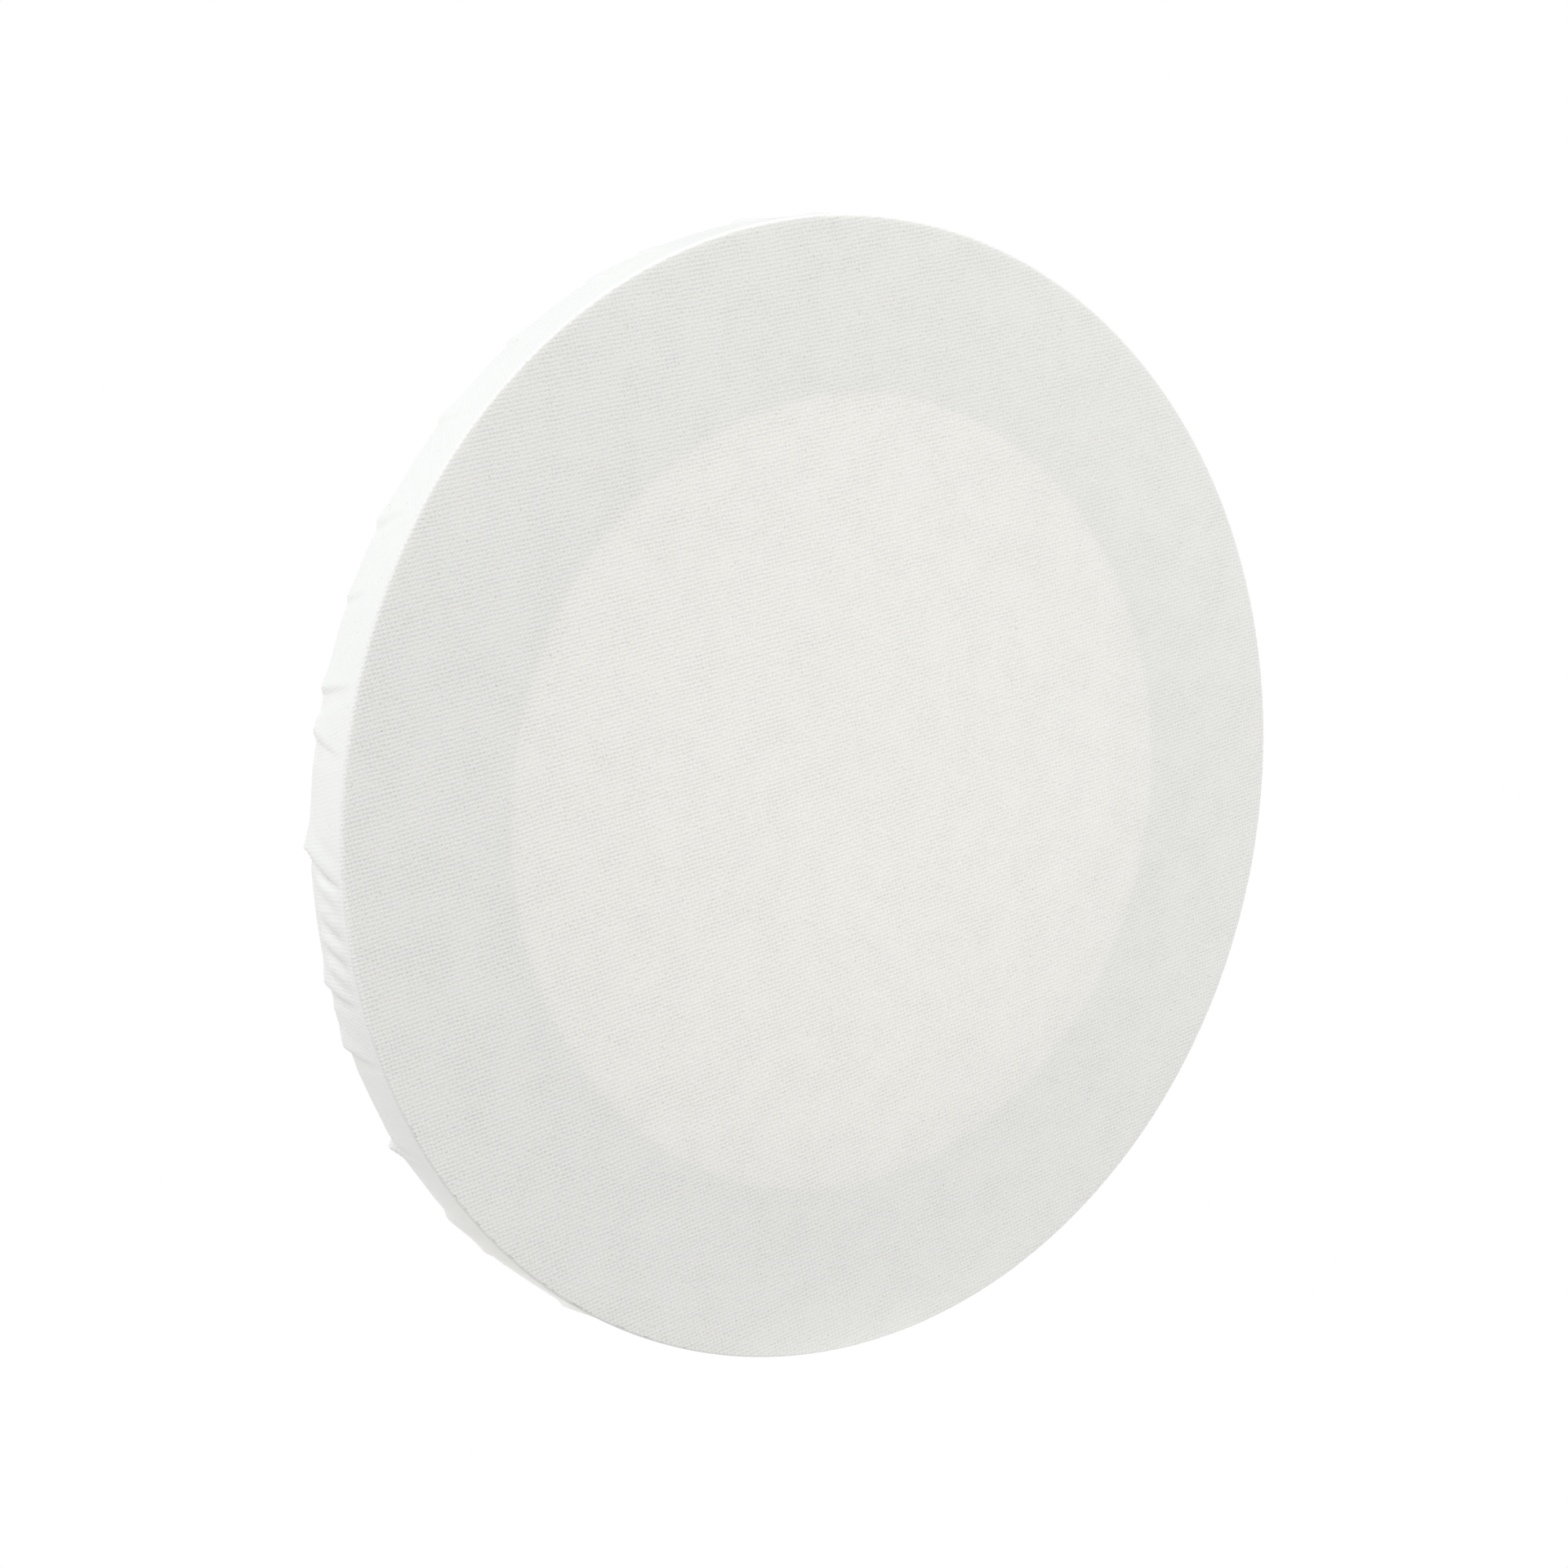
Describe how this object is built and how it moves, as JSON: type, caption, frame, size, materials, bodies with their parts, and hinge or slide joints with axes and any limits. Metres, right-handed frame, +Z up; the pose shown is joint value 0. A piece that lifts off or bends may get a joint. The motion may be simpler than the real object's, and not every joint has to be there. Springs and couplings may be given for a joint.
{
  "type": "round stretched canvas",
  "caption": "Round stretched artist's canvas: primed ribbed cotton pulled taut over a flat segmented wooden ring, turned over its thin side and stapled in pleats behind.",
  "frame": {"origin": "centre of the disc, halfway between the painting face and the staple crowns", "axes": "the disc stands upright: +Y out of its back, the painting face looks along -Y, +Z up"},
  "size_m": [0.3, 0.0176, 0.3],
  "materials": {
    "primed_cotton": "matt white acrylic primer on plain ribbed cotton",
    "softwood": "planed, unfinished",
    "staple_wire": "galvanised wire"
  },
  "bodies": {
    "root": {"canvas": "primed_cotton", "stretcher_segment_1": "softwood", "stretcher_segment_2": "softwood", "stretcher_segment_3": "softwood", "stretcher_segment_4": "softwood", "stretcher_segment_5": "softwood", "stretcher_segment_6": "softwood", "staples": "staple_wire"}
  },
  "joints": []
}
